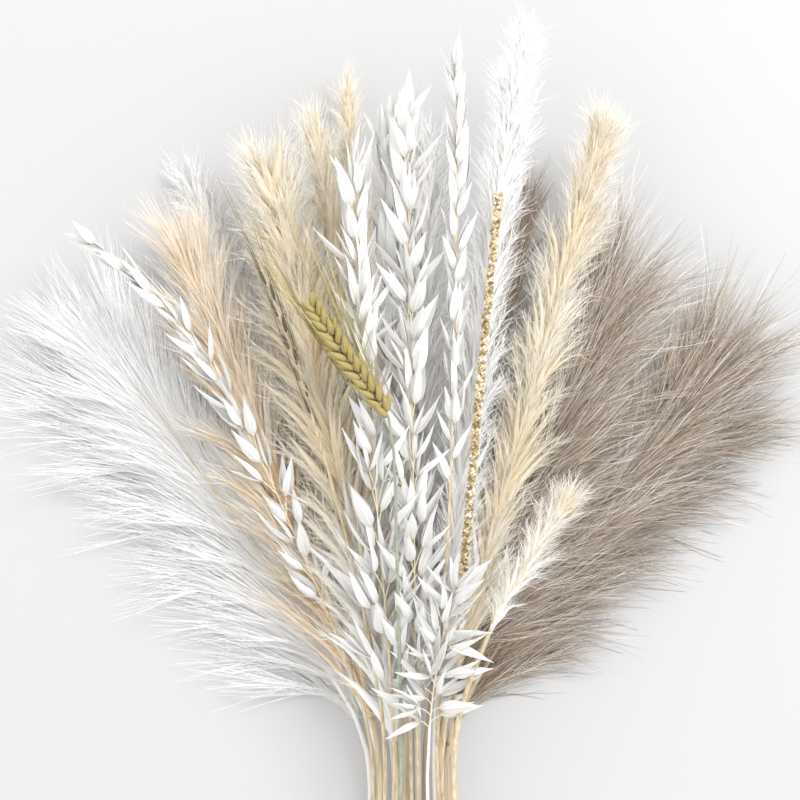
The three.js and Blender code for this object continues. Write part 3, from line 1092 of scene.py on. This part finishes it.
# Wheat kernels are painted darker at their foot: painted shade where they sit in one another.
WHEAT_SKIN = husk_material("wheat_skin", (0.5, 0.46, 0.3), (0.10, 0.07, 0.012), (0.52, 0.40, 0.11))
WHEAT_AWN = hair_material(
    "wheat_awn",
    [(0, (0.26, 0.21, 0.06)), (0.5, (0.38, 0.31, 0.11)), (1, (0.50, 0.43, 0.24))],
    [(0, (0.5, 0.5, 0.45)), (0.5, (1, 1, 1)), (1, (1.2, 1.17, 1.05))],
    sheen=0.0,
)
DARK_SKIN = husk_material("dark_skin", (0.4, 0.32, 0.25), (0.015, 0.012, 0.008), (0.13, 0.10, 0.06))
DARK_AWN = hair_material(
    "dark_awn",
    [(0, (0.10, 0.075, 0.045)), (0.5, (0.24, 0.19, 0.11)), (1, (0.45, 0.38, 0.26))],
    [(0, (0.6, 0.6, 0.6)), (1, (1.2, 1.2, 1.1))],
    sheen=0.0,
)


def ear(name, seed, shape, skin, awn, body, rows, kernel, tilt, bristle, fan, upright=0.0):
    """body: share of the head with kernels. kernel, bristle: mm. tilt, fan: degrees.

    upright: how far the bristles turn from the ear's direction to straight up the bunch.
    """
    rng = np.random.default_rng(seed)
    stalk = STALKS[name]
    copies, tips, ways, outs = [], [], [], []
    for row in range(rows):
        share = body * (row + 0.3) / rows
        y = stalk.head_y(share)
        along, across, over = (axis[0] for axis in stalk.frame_at(np.array([y])))
        side = 1 if row % 2 else -1
        slim = 0.75 + 0.25 * math.sin(math.pi * (row + 1) / (rows + 1)) ** 0.5
        for k in (-1, 0, 1):
            out = unit(side * across * 0.9 + k * 0.9 * over + rng.normal(0, 0.08, 3))
            lean = math.radians(tilt * slim * rng.uniform(0.75, 1.25))
            way = unit(math.cos(lean) * along + math.sin(lean) * out)
            root = stalk.at(y) + out * kernel * 0.08 * MM
            size = kernel * MM * rng.uniform(0.92, 1.08) * slim
            copies.append((shape, stand(root, way, out, size)))
            if k == 0 or rng.random() < MORE_BRISTLES:
                tips.append(root + way * size * 0.93)
                ways.append(way)
                outs.append(out)
    number = len(tips)
    tips, ways, outs = np.array(tips), np.array(ways), np.array(outs)
    straight = stalk.frame_at(tips[:, 1])[0]
    lengths = rng.uniform(*bristle, number) * MM
    forwards = unit(0.25 * ways + straight + np.array([0, upright, 0]))
    lines = grow(tips, forwards, outs, lengths, np.zeros(number),
                 rng.normal(fan, fan * 0.5, number), AWN_PLACES)
    radii = taper(AWN_PLACES, 0.36, 0.17) * MM + np.zeros((number, 1))
    awns = hair_mesh("awns", lines, radii, rng.random(number), np.linspace(0, 1, AWN_PLACES)[None])
    kernels = place_copies("kernels", copies)
    return piece(name + "_kernels", name, [(kernels, skin), (awns, awn)])


ear("wheat_ear", 41, PLUMP_KERNEL, WHEAT_SKIN, WHEAT_AWN, body=0.52, rows=24, kernel=11.5, tilt=31,
    bristle=(44, 70), fan=7, upright=0.4)
ear("dark_bearded_ear", 42, SLIM_KERNEL, DARK_SKIN, DARK_AWN, body=0.5, rows=9, kernel=10, tilt=8,
    bristle=(40, 62), fan=5)

# %% [markdown]
# The glittered reed is a plain rod rolled in coarse gold grit. Over a thousand small grains sit
# on its rib in a spiral. Each has its own tone, from brown to nearly white.

# %% Gold reed
GRAINS = 1150
GRAIN_OUT = (1.35, 1.75)
GRAIN_RADIUS = (0.5, 1.0)
GRAIN_CORNERS = 12
GOLDEN_TURN = math.pi * (3 - math.sqrt(5))


def gold_material():
    material = bpy.data.materials.new("gold_grit")
    material.use_nodes = True
    tree = material.node_tree
    shader = tree.nodes["Principled BSDF"]
    shader.inputs["Metallic"].default_value = 0.35
    shader.inputs["Roughness"].default_value = 0.32
    tone, _ = uv_of(tree)
    colour = add_ramp(tree, tone, [(0, (0.14, 0.08, 0.03)), (0.25, (0.42, 0.29, 0.12)),
                                   (0.6, (0.74, 0.59, 0.31)), (0.8, (0.90, 0.83, 0.66)),
                                   (0.9, (0.97, 0.96, 0.93))])
    tree.links.new(colour, shader.inputs["Base Color"])
    return material


def reed(name, seed):
    rng = np.random.default_rng(seed)
    stalk = STALKS[name]
    share = (np.arange(GRAINS) + 0.5) / GRAINS
    y = stalk.head_y(share)
    _, across, over = stalk.frame_at(y)
    turn = GOLDEN_TURN * np.arange(GRAINS)
    out = np.cos(turn)[:, None] * across + np.sin(turn)[:, None] * over
    spots = stalk.at(y) + out * rng.uniform(*GRAIN_OUT, (GRAINS, 1)) * MM
    work = bmesh.new()
    for spot in spots:
        bmesh.ops.create_icosphere(work, subdivisions=1, radius=rng.uniform(*GRAIN_RADIUS) * MM,
                                   matrix=Matrix.Translation(Vector(spot.tolist())))
    mesh = bpy.data.meshes.new("grit")
    work.to_mesh(mesh)
    work.free()
    corner = corner_numbers(mesh)
    tones = rng.random(GRAINS)
    write_uv(mesh, 0.03 + 0.9 * tones[corner // GRAIN_CORNERS] + corner % 3 * 0.01,
             0.05 + corner % GRAIN_CORNERS / GRAIN_CORNERS * 0.9)
    return piece(name + "_grit", name, [(mesh, gold_material())])


reed("gold_reed", 51)
